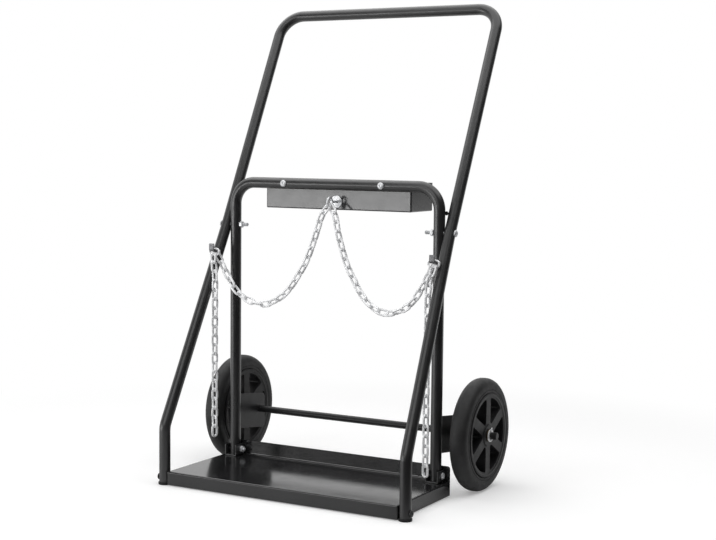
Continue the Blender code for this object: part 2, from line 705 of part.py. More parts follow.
def make_wheel(side):
    sign = SIDES[side]
    turn = ALONG_X if sign > 0 else ALONG_MINUS_X
    centre = bpy.data.objects.new(f"wheel_centre_{side}", None)
    centre.location = (sign * wheel_x, axle_y, axle_z)
    parts.objects.link(centre)
    middle = (0, 0, 0)
    tyre = turned(f"tyre_{side}", tyre_profile(), True, WHEEL_STEPS, middle, turn, rubber)
    hub = turned(f"wheel_hub_{side}", hub_profile(), True, WHEEL_STEPS, middle, turn, plastic)
    windows = [window_outline(math.tau * i / SPOKES) for i in range(SPOKES)]
    mesh = flat_mesh(f"hub_windows_{side}", windows, HUB_LENGTH)
    cutter = place_cutter(f"hub_windows_{side}", mesh, middle, IN_YZ)
    boolean(hub, cutter)
    bore = fit_radius(axle_radius, RUN_GAP, AXLE_STEPS)
    flange = bush_radius + BUSH_FLANGE_RISE
    face = HUB_LENGTH / 2 + FIT_GAP
    bush = [(flange, face + BUSH_FLANGE), (flange, face), (bush_radius, face),
            (bush_radius, face - BUSH_LENGTH), (bore, face - BUSH_LENGTH), (bore, face + BUSH_FLANGE)]
    other = ALONG_MINUS_X if sign > 0 else ALONG_X
    outer = turned(f"hub_bush_outer_{side}", bush, True, AXLE_STEPS, middle, turn, bronze)
    inner = turned(f"hub_bush_inner_{side}", bush, True, AXLE_STEPS, middle, other, bronze)
    for piece in (tyre, hub, cutter, outer, inner):
        piece.parent = centre


# Hook: the strip's outline from the side, with its end at the start of the outline's own axes
def make_hook(side):
    leg_x, leg_y = handle_leg(HOOK_HEIGHT)
    tip = leg_y - tube_radius / math.cos(HANDLE_LEAN) - FIT_GAP - HOOK_REACH
    bend = (HOOK_BEND, HOOK_BEND)
    outer = arc(bend, HOOK_BEND, -math.pi / 2, -math.pi, HOOK_STEPS)
    inner = arc(bend, HOOK_BEND - HOOK_SHEET, -math.pi, -math.pi / 2, HOOK_STEPS)
    outline = [(HOOK_REACH, HOOK_SHEET), (HOOK_REACH, 0), *outer, (0, HOOK_TIP), (HOOK_SHEET, HOOK_TIP),
               *inner]
    mesh = flat_mesh(f"chain_hook_{side}", [outline], HOOK_WIDTH)
    x = SIDES[side] * (leg_x - HOOK_INSET)
    place(f"chain_hook_{side}", mesh, (x, tip, HOOK_HEIGHT), IN_YZ, zinc)


def make_chain(name, side, route):
    points = [(SIDES[side] * x, rear_y + y, z) for x, y, z in route]
    curve = tube_curve(f"{name}_{side}", smooth_route(points, CHAIN_POINT_SPACING), chain_radius, 2, True)
    place(f"{name}_{side}", curve_mesh(curve), (0, 0, 0), (0, 0, 0), zinc)


platform = make_platform()
rear = make_rear_frame()
handle = make_handle()
make_frame_joints(platform, rear, handle)
make_eye(make_tray(rear))
make_axle()
for cart_side in SIDES:
    make_clevis(cart_side, rear)
    make_foot_cap(cart_side)
    make_frame_stop(cart_side)
    make_axle_bracket(cart_side)
    make_wheel(cart_side)
    make_hook(cart_side)
    make_chain("chain_swag", cart_side, CHAIN_SWAG)
    tail_end = (*CHAIN_TAIL[-1][:2], CHAIN_END_HEIGHT[cart_side])
    make_chain("chain_tail", cart_side, [*CHAIN_TAIL, tail_end])
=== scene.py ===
# Gas cylinder cart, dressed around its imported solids.
# Metres, +Z up. The front is toward -Y, and left and right are the viewer's.

import math

import bmesh
import bpy
from mathutils import Matrix, Vector
from mathutils.geometry import interpolate_bezier


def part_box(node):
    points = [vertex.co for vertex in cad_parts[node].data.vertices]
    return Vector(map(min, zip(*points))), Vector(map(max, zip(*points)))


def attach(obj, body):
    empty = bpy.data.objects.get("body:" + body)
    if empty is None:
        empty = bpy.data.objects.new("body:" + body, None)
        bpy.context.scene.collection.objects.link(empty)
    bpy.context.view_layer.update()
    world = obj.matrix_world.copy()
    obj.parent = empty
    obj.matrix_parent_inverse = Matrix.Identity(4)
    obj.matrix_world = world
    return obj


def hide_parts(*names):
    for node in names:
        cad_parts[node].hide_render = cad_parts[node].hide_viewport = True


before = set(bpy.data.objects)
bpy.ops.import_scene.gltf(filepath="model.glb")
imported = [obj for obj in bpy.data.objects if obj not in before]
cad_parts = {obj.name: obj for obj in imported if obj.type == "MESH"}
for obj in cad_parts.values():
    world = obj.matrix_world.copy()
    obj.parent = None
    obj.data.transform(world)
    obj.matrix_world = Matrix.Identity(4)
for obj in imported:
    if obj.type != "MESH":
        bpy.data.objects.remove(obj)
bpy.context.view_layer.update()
print("frame loaded,", len(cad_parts), "solids")

sides = {"left": -1, "right": 1}
alongX = Matrix.Rotation(math.pi / 2, 4, "Y")  # lays a turned piece's own Z axis along X
alongFront = Matrix.Rotation(math.pi / 2, 4, "X")  # lays it along -Y


# Camera, at the photograph's viewing angle

cameraView = {"place": (1.6319, -2.7939, 0.7616), "turn": 29.414, "tilt": 4.983, "roll": 0.594,
              "lens": 72.886, "sensor": 36}


def makeCamera(v):
    data = bpy.data.cameras.new("viewCamera")
    data.lens = v["lens"]
    data.sensor_width = v["sensor"]
    data.sensor_fit = "HORIZONTAL"
    camera = bpy.data.objects.new("viewCamera", data)
    turn = Matrix.Rotation(math.radians(v["turn"]), 4, "Z")
    tilt = Matrix.Rotation(math.radians(90 - v["tilt"]), 4, "X")
    roll = Matrix.Rotation(math.radians(v["roll"]), 4, "Z")
    camera.matrix_world = Matrix.Translation(v["place"]) @ turn @ tilt @ roll
    bpy.context.scene.collection.objects.link(camera)
    bpy.context.scene.camera = camera


makeCamera(cameraView)
print("camera placed")


# Materials

def startMaterial(name):
    material = bpy.data.materials.new(name)
    material.use_nodes = True
    tree = material.node_tree
    return material, tree, tree.nodes["Principled BSDF"]


def addNoise(tree, scale, detail=3, roughness=0.5):
    noise = tree.nodes.new("ShaderNodeTexNoise")
    noise.inputs["Scale"].default_value = scale
    noise.inputs["Detail"].default_value = detail
    noise.inputs["Roughness"].default_value = roughness
    place = tree.nodes.new("ShaderNodeTexCoord")
    tree.links.new(place.outputs["Object"], noise.inputs["Vector"])
    return noise.outputs["Fac"]


noiseSpan = (0.3, 0.7)  # most of a noise lies between these


def addRamp(tree, source, low, high, start=0.35, end=0.65):
    ramp = tree.nodes.new("ShaderNodeValToRGB")
    ramp.color_ramp.elements[0].position = start
    ramp.color_ramp.elements[1].position = end
    ramp.color_ramp.elements[0].color = (*low, 1)
    ramp.color_ramp.elements[1].color = (*high, 1)
    tree.links.new(source, ramp.inputs["Fac"])
    return ramp.outputs["Color"]


def addRange(tree, source, low, high):
    span = tree.nodes.new("ShaderNodeMapRange")
    span.inputs["From Min"].default_value = noiseSpan[0]
    span.inputs["From Max"].default_value = noiseSpan[1]
    span.inputs["To Min"].default_value = low
    span.inputs["To Max"].default_value = high
    tree.links.new(source, span.inputs["Value"])
    return span.outputs["Result"]


def addBump(tree, shader, layers):
    normal = None
    for source, strength, depth in layers:  # coarse first, each on top of the one before
        bump = tree.nodes.new("ShaderNodeBump")
        bump.inputs["Strength"].default_value = strength
        bump.inputs["Distance"].default_value = depth
        tree.links.new(source, bump.inputs["Height"])
        if normal:
            tree.links.new(normal, bump.inputs["Normal"])
        normal = bump.outputs["Normal"]
    tree.links.new(normal, shader.inputs["Normal"])


tubeCoat = {"dark": (0.0140, 0.0140, 0.0145), "pale": (0.0210, 0.0210, 0.0217), "cloud": 9, "level": 0.70,
            "gloss": (0.27, 0.37), "peel": 330, "peelDepth": 0.00010, "grain": 2100, "grainDepth": 0.00004}
sheetCoat = {"dark": (0.0120, 0.0120, 0.0125), "pale": (0.0180, 0.0180, 0.0187), "cloud": 7, "level": 0.64,
             "gloss": (0.12, 0.17), "peel": 260, "peelDepth": 0.00003, "grain": 2100, "grainDepth": 0.00001}
plateCoat = {"dark": (0.0120, 0.0120, 0.0125), "pale": (0.0180, 0.0180, 0.0187), "cloud": 9, "level": 0.32,
             "gloss": (0.30, 0.42), "peel": 330, "peelDepth": 0.00010, "grain": 2100, "grainDepth": 0.00004}
trayCoat = {"dark": (0.036, 0.036, 0.037), "pale": (0.052, 0.052, 0.053), "cloud": 11, "level": 0.58,
            "gloss": (0.12, 0.18), "peel": 300, "peelDepth": 0.00006, "grain": 2100, "grainDepth": 0.00002}
tyreRubber = {"dark": (0.017, 0.017, 0.0175), "pale": (0.028, 0.028, 0.0285), "cloud": 26, "level": 0.34,
              "gloss": (0.50, 0.66), "peel": 240, "peelDepth": 0.00016, "grain": 1900, "grainDepth": 0.00012}
hubPlastic = {"dark": (0.009, 0.009, 0.0095), "pale": (0.016, 0.016, 0.0165), "cloud": 18, "level": 0.18,
              "gloss": (0.34, 0.46), "peel": 500, "peelDepth": 0.00008, "grain": 2600, "grainDepth": 0.00008}


def darkFinish(name, d, patchScale=3.7, bump=0.5):
    # The gloss varies in patches that are finer than the colour's clouds
    material, tree, shader = startMaterial(name)
    cloud = addNoise(tree, d["cloud"], detail=4)
    tree.links.new(addRamp(tree, cloud, d["dark"], d["pale"]), shader.inputs["Base Color"])
    shader.inputs["Specular IOR Level"].default_value = d["level"]
    patch = addNoise(tree, d["cloud"] * patchScale, detail=5, roughness=0.6)
    tree.links.new(addRange(tree, patch, *d["gloss"]), shader.inputs["Roughness"])
    addBump(tree, shader, [(addNoise(tree, d["peel"], detail=2), bump, d["peelDepth"]),
                           (addNoise(tree, d["grain"], detail=2), bump, d["grainDepth"])])
    return material


zincPlate = {"dark": (0.68, 0.69, 0.71), "pale": (0.82, 0.83, 0.84), "cloud": 120, "metal": 0.4,
             "gloss": (0.30, 0.44), "grain": 1500, "grainDepth": 0.00006}
hookSteel = {"dark": (0.13, 0.13, 0.135), "pale": (0.21, 0.21, 0.215), "cloud": 140, "metal": 0.9,
             "gloss": (0.36, 0.52), "grain": 1400, "grainDepth": 0.00008}
chainZinc = {"dark": (0.85, 0.86, 0.87), "pale": (0.94, 0.94, 0.95), "cloud": 160, "metal": 0.25,
             "gloss": (0.30, 0.46), "grain": 1300, "grainDepth": 0.00009}
bushBronze = {"dark": (0.16, 0.12, 0.075), "pale": (0.25, 0.19, 0.125), "cloud": 150, "metal": 1.0,
              "gloss": (0.32, 0.48), "grain": 2400, "grainDepth": 0.00008}


def metalFinish(name, d, patchScale=2.3, bump=0.4):
    material, tree, shader = startMaterial(name)
    cloud = addNoise(tree, d["cloud"], detail=4, roughness=0.6)
    tree.links.new(addRamp(tree, cloud, d["dark"], d["pale"], *noiseSpan), shader.inputs["Base Color"])
    shader.inputs["Metallic"].default_value = d["metal"]
    patch = addNoise(tree, d["cloud"] * patchScale, detail=4)
    tree.links.new(addRange(tree, patch, *d["gloss"]), shader.inputs["Roughness"])
    addBump(tree, shader, [(addNoise(tree, d["grain"], detail=3), bump, d["grainDepth"])])
    return material


paint = darkFinish("tubeCoat", tubeCoat)
sheetPaint = darkFinish("sheetCoat", sheetCoat)
platePaint = darkFinish("plateCoat", plateCoat)
trayPaint = darkFinish("trayCoat", trayCoat)
rubber = darkFinish("tyreRubber", tyreRubber)
plastic = darkFinish("hubPlastic", hubPlastic)
zinc = metalFinish("zincPlate", zincPlate)
steel = metalFinish("hookSteel", hookSteel)
linkZinc = metalFinish("chainZinc", chainZinc)
bronze = metalFinish("bushBronze", bushBronze)
print("materials made")


# Helpers that end a piece, and shapes that several pieces share

weld = 0.000002  # points nearer than this are one point


def endPiece(bm, name, material, nodes, body="cart", wall=0, edge=0, sharp=38):
    bmesh.ops.remove_doubles(bm, verts=bm.verts, dist=weld)
    bmesh.ops.recalc_face_normals(bm, faces=bm.faces)
    mesh = bpy.data.meshes.new(name)
    bm.to_mesh(mesh)
    bm.free()
    mesh.shade_smooth()
    mesh.set_sharp_from_angle(angle=math.radians(sharp))
    mesh.materials.append(material)
    piece = bpy.data.objects.new(name, mesh)
    bpy.context.scene.collection.objects.link(piece)
    if wall:
        sheet = piece.modifiers.new("wall", "SOLIDIFY")
        sheet.thickness = wall
        sheet.offset = -1
        sheet.use_even_offset = True
    if edge:
        soft = piece.modifiers.new("edge", "BEVEL")
        soft.width = edge
        soft.segments = 2
        soft.limit_method = "ANGLE"
        soft.angle_limit = math.radians(sharp)
    if wall or edge:
        # Wide faces stay flat beside their folds
        flats = piece.modifiers.new("flats", "WEIGHTED_NORMAL")
        flats.keep_sharp = True
    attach(piece, body)
    if nodes:
        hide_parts(*nodes)
    return piece


def vertsOf(made):
    return [g for g in made if isinstance(g, bmesh.types.BMVert)]


def edgesOf(made):
    return [g for g in made if isinstance(g, bmesh.types.BMEdge)]


def roundOff(bm, geom, size, steps, affect="EDGES"):
    bmesh.ops.bevel(bm, geom=geom, offset=size, offset_type="OFFSET", segments=steps, profile=0.5,
                    affect=affect, material=-1)


def ringEdges(verts):
    # The edges that join these points, in the order of the points
    ring = dict.fromkeys(verts)
    edges = dict.fromkeys(e for v in ring for e in v.link_edges)
    return [e for e in edges if all(v in ring for v in e.verts)]


def turnProfile(bm, profile, steps, place, closed=False):
    # The profile's points are radius and height, and it is spun about its own Z axis
    verts = [bm.verts.new((r, 0, h)) for r, h in profile]
    pairs = list(zip(verts, verts[1:]))
    if closed:
        pairs.append((verts[-1], verts[0]))
    line = [bm.edges.new(pair) for pair in pairs]
    before = set(bm.verts) - set(verts)
    bmesh.ops.spin(bm, geom=verts + line, cent=(0, 0, 0), axis=(0, 0, 1), angle=math.tau, steps=steps,
                   use_merge=True)
    new = [v for v in bm.verts if v not in before]
    bmesh.ops.remove_doubles(bm, verts=new, dist=weld)
    new = [v for v in bm.verts if v not in before]
    bmesh.ops.transform(bm, matrix=place, verts=new)


def ringProfile(inner, outer, low, high, edge):
    return [(inner, low), (outer - edge, low), (outer, low + edge), (outer, high - edge),
            (outer - edge, high), (inner, high)]


def bendTube(bm, corners, radius, ring, step):
    # Corners are points with a bend radius; the tube is extruded along the runs and spun round the bends
    points = [Vector(corner[0]) for corner in corners]
    ahead = (points[1] - points[0]).normalized()
    aim = Vector((0, 0, 1)).rotation_difference(ahead).to_matrix().to_4x4()
    verts = bmesh.ops.create_circle(bm, cap_ends=False, segments=ring, radius=radius,
                                    matrix=Matrix.Translation(points[0]) @ aim)["verts"]
    edges = ringEdges(verts)
    here = points[0]

    def run(goal):
        nonlocal edges, here
        moved = vertsOf(bmesh.ops.extrude_edge_only(bm, edges=edges)["geom"])
        bmesh.ops.translate(bm, verts=moved, vec=goal - here)
        edges = ringEdges(moved)
        here = goal

    for i in range(1, len(points) - 1):
        corner, size = points[i], corners[i][1]
        into = (corner - points[i - 1]).normalized()
        out = (points[i + 1] - corner).normalized()
        turn = into.angle(out)
        reach = size * math.tan(turn / 2)
        run(corner - into * reach)
        axis = into.cross(out).normalized()
        centre = here + axis.cross(into) * size
        count = max(2, round(math.degrees(turn) / step))
        ends = list(dict.fromkeys(v for e in edges for v in e.verts))
        made = bmesh.ops.spin(bm, geom=edges + ends, cent=centre, axis=axis, angle=turn, steps=count)
        edges = edgesOf(made["geom_last"])
        here = corner + out * reach
    run(points[-1])


def capHoles(bm):
    bmesh.ops.holes_fill(bm, edges=[e for e in bm.edges if e.is_boundary], sides=0)


def plate(bm, outline, thickness, place):
    # A flat outline in its own XY plane, thick along its own Z
    verts = [bm.verts.new((x, y, -thickness / 2)) for x, y in outline]
    face = bm.faces.new(verts)
    top = vertsOf(bmesh.ops.extrude_face_region(bm, geom=[face])["geom"])
    bmesh.ops.translate(bm, verts=top, vec=(0, 0, thickness))
    bmesh.ops.transform(bm, matrix=place, verts=verts + top)


def arcPoints(centre, radius, start, end, steps):
    turns = [math.radians(start + (end - start) * i / steps) for i in range(steps + 1)]
    return [(centre[0] + radius * math.cos(a), centre[1] + radius * math.sin(a)) for a in turns]


inYZ = Matrix(((0, 0, 1, 0), (1, 0, 0, 0), (0, 1, 0, 0), (0, 0, 0, 1)))  # lays a flat outline in the YZ plane


def middleOf(node):
    low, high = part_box(node)
    return (low + high) / 2


axleAt = middleOf("axle")
axleReach = 0.102  # from the rear legs back to the axle
rearY = axleAt.y - axleReach  # the plane of the rear legs


# Frame tubes

frameTubes = {"radius": 0.0125, "wall": 0.0015, "ring": 40, "bendStep": 5, "rearX": 0.262, "rearFoot": 0.0356,
              "rearHeight": 0.6705, "rearBend": 0.050, "crossingX": 0.2873, "crossing": 0.573,
              "frontX": 0.3028, "frontReach": 0.2185, "foot": 0.0063, "lean": 26.3, "footBend": 0.045,
              "flareBend": 0.300, "handleHeight": 1.067, "handleBend": 0.055}


def mirrored(half):
    return half + [((-x, y, z), r) for (x, y, z), r in reversed(half)]


def makeFrameTubes(t):
    lean = math.tan(math.radians(t["lean"]))
    bm = bmesh.new()
    bendTube(bm, mirrored([((t["rearX"], rearY, t["rearFoot"]), 0),
                           ((t["rearX"], rearY, t["rearHeight"]), t["rearBend"])]),
             t["radius"], t["ring"], t["bendStep"])
    endPiece(bm, "rearFrameTube", paint, ["rear_frame"], wall=t["wall"])
    frontY = rearY - t["frontReach"]
    topY = rearY + (t["handleHeight"] - t["crossing"]) * lean
    bm = bmesh.new()
    bendTube(bm, mirrored([((t["frontX"], frontY, t["foot"]), 0),
                           ((t["frontX"], frontY, t["crossing"] - t["frontReach"] / lean), t["footBend"]),
                           ((t["crossingX"], rearY, t["crossing"]), t["flareBend"]),
                           ((t["crossingX"], topY, t["handleHeight"]), t["handleBend"])]),
             t["radius"], t["ring"], t["bendStep"])
    endPiece(bm, "handleTube", paint, ["handle_frame"], wall=t["wall"])


makeFrameTubes(frameTubes)
print("frame tubes bent")


# Chains: welded steel links, hung on the eye and on the hooks.
# The routes are the ones of the solids, for the right side, with Y from the plane of the rear legs.

chain = {"wire": 0.005, "pitch": 0.021, "width": 0.018, "wireSteps": 8, "endSteps": 7, "diameter": 0.015,
         "swag": [(0.0005, -0.0182, 0.6222), (0.0076, -0.0195, 0.6170), (0.0180, -0.0233, 0.5989),
                  (0.0292, -0.0277, 0.5595), (0.0510, -0.0310, 0.5008), (0.0737, -0.0341, 0.4621),
                  (0.0956, -0.0377, 0.4313), (0.1259, -0.0419, 0.4071), (0.1602, -0.0458, 0.3974),
                  (0.1921, -0.0493, 0.4043), (0.2236, -0.0514, 0.4231), (0.2449, -0.0524, 0.4516),
                  (0.2623, -0.0530, 0.4809), (0.2700, -0.0550, 0.4960), (0.2745, -0.0590, 0.5065)],
         "tail": [(0.2815, -0.0615, 0.5075), (0.2800, -0.0655, 0.4960), (0.2746, -0.0692, 0.4740),
                  (0.2722, -0.0698, 0.4480), (0.2718, -0.0700, 0.4150), (0.2718, -0.0705, 0.3300),
                  (0.2718, -0.0705, 0.2400), (0.2718, -0.0705, 0.1600)],
         "end": {"left": 0.089, "right": 0.060}, "eyeSpread": {"left": -0.0030, "right": 0.0030},
         "hookLink": (0.2800, -0.0603, 0.5115), "faceTurn": -16, "lineStep": 0.004, "curveSteps": 20,
         "aimBack": 3, "aimAhead": 4, "seam": 0.00001, "slant": (1, 10.7, 113.3)}


def smoothLine(points, step, curveSteps):
    # Even steps along a smooth curve through the points
    spots = [points[0] * 2 - points[1], *points, points[-1] * 2 - points[-2]]
    fine = [points[0]]
    for a, b, c, d in zip(spots, spots[1:], spots[2:], spots[3:]):
        fine += interpolate_bezier(b, b + (c - a) / 6, c - (d - b) / 6, c, curveSteps)[1:]
    reach = [0]
    for start, end in zip(fine, fine[1:]):
        reach.append(reach[-1] + (end - start).length)
    count = round(reach[-1] / step)
    line, k = [], 0
    for i in range(count + 1):
        goal = reach[-1] * i / count
        while k < len(fine) - 2 and reach[k + 1] < goal:
            k += 1
        line.append(fine[k].lerp(fine[k + 1], (goal - reach[k]) / (reach[k + 1] - reach[k])))
    return line, reach[-1]


def linkMesh(c):
    # One link, lying in its own XZ plane with its length along Z
    bm = bmesh.new()
    arm = (c["width"] - c["wire"]) / 2
    straight = c["pitch"] + c["wire"] - 2 * arm
    verts = bmesh.ops.create_circle(bm, cap_ends=False, segments=c["wireSteps"], radius=c["wire"] / 2,
                                    matrix=Matrix.Translation((arm, 0, -straight / 2)))["verts"]
    edges = ringEdges(verts)
    for side in (1, -1):
        moved = vertsOf(bmesh.ops.extrude_edge_only(bm, edges=edges)["geom"])
        bmesh.ops.translate(bm, verts=moved, vec=(0, 0, side * straight))
        spun = bmesh.ops.spin(bm, geom=moved + ringEdges(moved), cent=(0, 0, side * straight / 2),
                              axis=(0, -1, 0), angle=math.pi, steps=c["endSteps"])["geom_last"]
        edges = edgesOf(spun)
    bmesh.ops.remove_doubles(bm, verts=bm.verts, dist=c["seam"])  # the last ring lands on the first
    slant = Vector(c["slant"])  # an order along it is the same at each run
    bm.verts.sort(key=lambda v: v.co.dot(slant))
    bm.faces.sort(key=lambda f: f.calc_center_median().dot(slant))
    mesh = bpy.data.meshes.new("link")
    bm.to_mesh(mesh)
    bm.free()
    return mesh


def hangLinks(bm, mesh, c, line, length, face):
    # Links along a line, each turned a quarter from the one before
    count = round(length / c["pitch"])
    step = length / count
    last = len(line) - 1
    for i in range(count):
        share = step * (i + 0.5) / length * last
        k = min(int(share), last - 1)
        spot = line[k].lerp(line[k + 1], share - k)
        along = (line[min(last, k + c["aimAhead"])] - line[max(0, k - c["aimBack"])]).normalized()
        across = (face - along * face.dot(along)).normalized()
        if i % 2:
            across = along.cross(across)
        deep = along.cross(across)
        turn = Matrix((across, deep, along)).transposed().to_4x4()
        before = set(bm.verts)
        bm.from_mesh(mesh)
        bmesh.ops.transform(bm, matrix=Matrix.Translation(spot) @ turn,
                            verts=[v for v in bm.verts if v not in before])
    return count


def makeChains(c):
    mesh = linkMesh(c)
    turn = math.radians(c["faceTurn"])
    face = Vector((math.cos(turn), math.sin(turn), 0))  # links hang half turned to the front right
    for side, sign in sides.items():
        def place(points):
            return [Vector((sign * x, rearY + y, z)) for x, y, z in points]

        swag = place(c["swag"])
        swag[0].y += c["eyeSpread"][side]
        tailX, tailY = c["tail"][-1][:2]
        tail = place([*c["tail"], (tailX, tailY, c["end"][side])])
        swagLine, swagLength = smoothLine(swag, c["lineStep"], c["curveSteps"])
        tailLine, tailLength = smoothLine(tail, c["lineStep"], c["curveSteps"])
        bm = bmesh.new()
        bm.from_mesh(mesh)
        spot = place([c["hookLink"]])[0]
        bmesh.ops.transform(bm, matrix=Matrix.Translation(spot) @ alongX, verts=bm.verts)
        hookLink = endPiece(bm, f"chainHookLink.{side}", linkZinc, [])
        for name, line, length, far in (("Swag", swagLine, swagLength, "object"),
                                        ("Tail", tailLine, tailLength, "bare")):
            bm = bmesh.new()
            count = hangLinks(bm, mesh, c, line, length, face)
            node = f"chain_{name.lower()}_{side}"
            piece = endPiece(bm, f"chain{name}.{side}", linkZinc, [node])
            print(f"chain {name.lower()} {side}: {count} links, {length:.3f} m")


makeChains(chain)


# Platform: folded sheet with flanges turned down, and a wall behind the rear legs

pan = {"sheet": 0.002, "floor": 0.032, "fold": 0.0035, "foldSteps": 4, "wallFold": 0.005,
       "wallFoldSteps": 6, "wallCorner": 0.006, "cornerSteps": 5, "edge": 0.0004, "near": 0.0001}


def makePlatform(p):
    low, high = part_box("platform_pan")
    wallY = high.y - p["sheet"]
    foldY = wallY - p["wallFold"]
    bm = bmesh.new()
    bmesh.ops.create_cube(bm, size=1)
    for v in bm.verts:
        v.co = (low.x if v.co.x < 0 else high.x, low.y if v.co.y < 0 else wallY,
                low.z if v.co.z < 0 else p["floor"])
    openSides = [f for f in bm.faces if f.normal.z < -0.5 or f.normal.y > 0.5]
    bmesh.ops.delete(bm, geom=openSides, context="FACES")
    roundOff(bm, [e for e in bm.edges if not e.is_boundary], p["fold"], p["foldSteps"])
    floor = bm.faces[:]
    bmesh.ops.recalc_face_normals(bm, faces=floor)
    if sum(f.normal.z * f.calc_area() for f in floor) < 0:
        bmesh.ops.reverse_faces(bm, faces=floor)
    endPiece(bm, "platformPan", sheetPaint, ["platform_pan"], wall=p["sheet"],
             edge=p["edge"])
    # The wall's section, from its foot up, over and down its front to the round fold and the floor
    r = p["wallFold"]
    fold = arcPoints((foldY, p["floor"] + r), r, 0, -90, p["wallFoldSteps"])
    inside = p["floor"] - p["sheet"] / 2
    section = [(wallY, low.z), (high.y, low.z), (high.y, high.z), (wallY, high.z), *fold,
               (foldY, inside), (wallY, inside)]
    bm = bmesh.new()
    plate(bm, section, high.x - low.x, inYZ)
    bmesh.ops.recalc_face_normals(bm, faces=bm.faces)
    tips = [e for e in bm.edges if e.calc_length() < p["wallFold"]
            and all(v.co.z > high.z - p["near"] for v in e.verts)]
    roundOff(bm, tips, p["wallCorner"], p["cornerSteps"])
    endPiece(bm, "platformWall", sheetPaint, ["platform_pan"], edge=p["edge"])


makePlatform(pan)
print("platform folded")


# Tool tray: an open box of folded sheet

tray = {"sheet": 0.0015, "fold": 0.003, "foldSteps": 4, "edge": 0.0003}


def makeTray(t):
    low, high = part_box("tool_tray")
    bm = bmesh.new()
    bmesh.ops.create_cube(bm, size=1)
    for v in bm.verts:
        v.co = [low[i] if v.co[i] < 0 else high[i] for i in range(3)]
    bmesh.ops.delete(bm, geom=[f for f in bm.faces if f.normal.z > 0.5], context="FACES")
    roundOff(bm, [e for e in bm.edges if not e.is_boundary], t["fold"], t["foldSteps"])
    endPiece(bm, "toolTray", trayPaint, ["tool_tray"], wall=t["sheet"], edge=t["edge"])


makeTray(tray)
print("tray folded")


# Bolts and nuts. A bolt's own Z axis points out of its head.

bolts = {"diameter": 0.008, "head": 0.015, "headHeight": 0.0045, "steps": 36, "thread": 0.00125,
         "socket": 0.005, "socketDepth": 0.0022, "socketRim": 0.0003, "nutWidth": 0.013, "nutHeight": 0.0065,
         "crownTurns": (24, 38, 52, 66, 80, 90), "crownFoot": 0.35, "headEdge": 0.0003, "threadDepth": 0.0007,
         "tip": 0.0009, "boreGap": 0.00015,
         "threaded": {"frame": 0.026, "leg": 0.012, "foot": 0.012, "tray": 0.012}}


def boltProfile(b, length, threaded):
    r, h = b["diameter"] / 2, b["head"] / 2
    rise, foot, edge = b["headHeight"], b["crownFoot"], b["headEdge"]
    crown = [(h * math.sin(math.radians(a)), rise * (foot + (1 - foot) * math.cos(math.radians(a))))
             for a in b["crownTurns"]]
    profile = [(h, edge), (h - edge, 0), (r, 0), (r, threaded - length)]
    turns = int(threaded / b["thread"])
    for i in range(turns):
        top = threaded - length - i * b["thread"]
        profile += [(r - b["threadDepth"], top - b["thread"] / 2), (r, top - b["thread"])]
    return crown + profile + [(r - b["tip"], -length), (0, -length)]


def makeBolt(name, node, length, threaded, place, finish, b):
    bm = bmesh.new()
    turnProfile(bm, boltProfile(b, length, threaded), b["steps"], Matrix.Identity(4))
    rim = [e for e in bm.edges if e.is_boundary]
    top = bmesh.ops.holes_fill(bm, edges=rim, sides=0)["faces"]
    bmesh.ops.inset_region(bm, faces=top, thickness=b["socketRim"], depth=0)
    for v in {v for f in top for v in f.verts}:  # the socket is six-sided
        turn = math.atan2(v.co.y, v.co.x) % (math.pi / 3) - math.pi / 6
        size = b["socket"] / 2 / math.cos(turn)
        v.co.xy = v.co.xy.normalized() * size
    made = bmesh.ops.extrude_face_region(bm, geom=top)["geom"]
    bmesh.ops.delete(bm, geom=top, context="FACES_ONLY")
    bmesh.ops.translate(bm, verts=vertsOf(made), vec=(0, 0, -b["socketDepth"]))
    bmesh.ops.transform(bm, matrix=place, verts=bm.verts)
    endPiece(bm, name, finish, [node], sharp=50)


def makeNut(name, node, width, height, bore, place, steps=36, cornerDrop=0.6):
    bm = bmesh.new()
    rings = []
    for radius, z in ((width / 2, -height / 2), (width / 2, height / 2), (bore, height / 2),
                      (bore, -height / 2)):
        rings.append(bmesh.ops.create_circle(bm, segments=steps, radius=radius,
                                             matrix=Matrix.Translation((0, 0, z)))["verts"])
    for ring in rings[:2]:
        for v in ring:  # flats, with the corners turned off at both ends
            turn = math.atan2(v.co.y, v.co.x) % (math.pi / 3) - math.pi / 6
            size = width / 2 / math.cos(turn)
            v.co.xy = v.co.xy.normalized() * size
            v.co.z -= math.copysign((size - width / 2) * cornerDrop, v.co.z)
    for a, b in zip(rings, rings[1:] + rings[:1]):
        bmesh.ops.bridge_loops(bm, edges=ringEdges(a) + ringEdges(b))
    bmesh.ops.transform(bm, matrix=place, verts=bm.verts)
    endPiece(bm, name, zinc, [node], sharp=30)


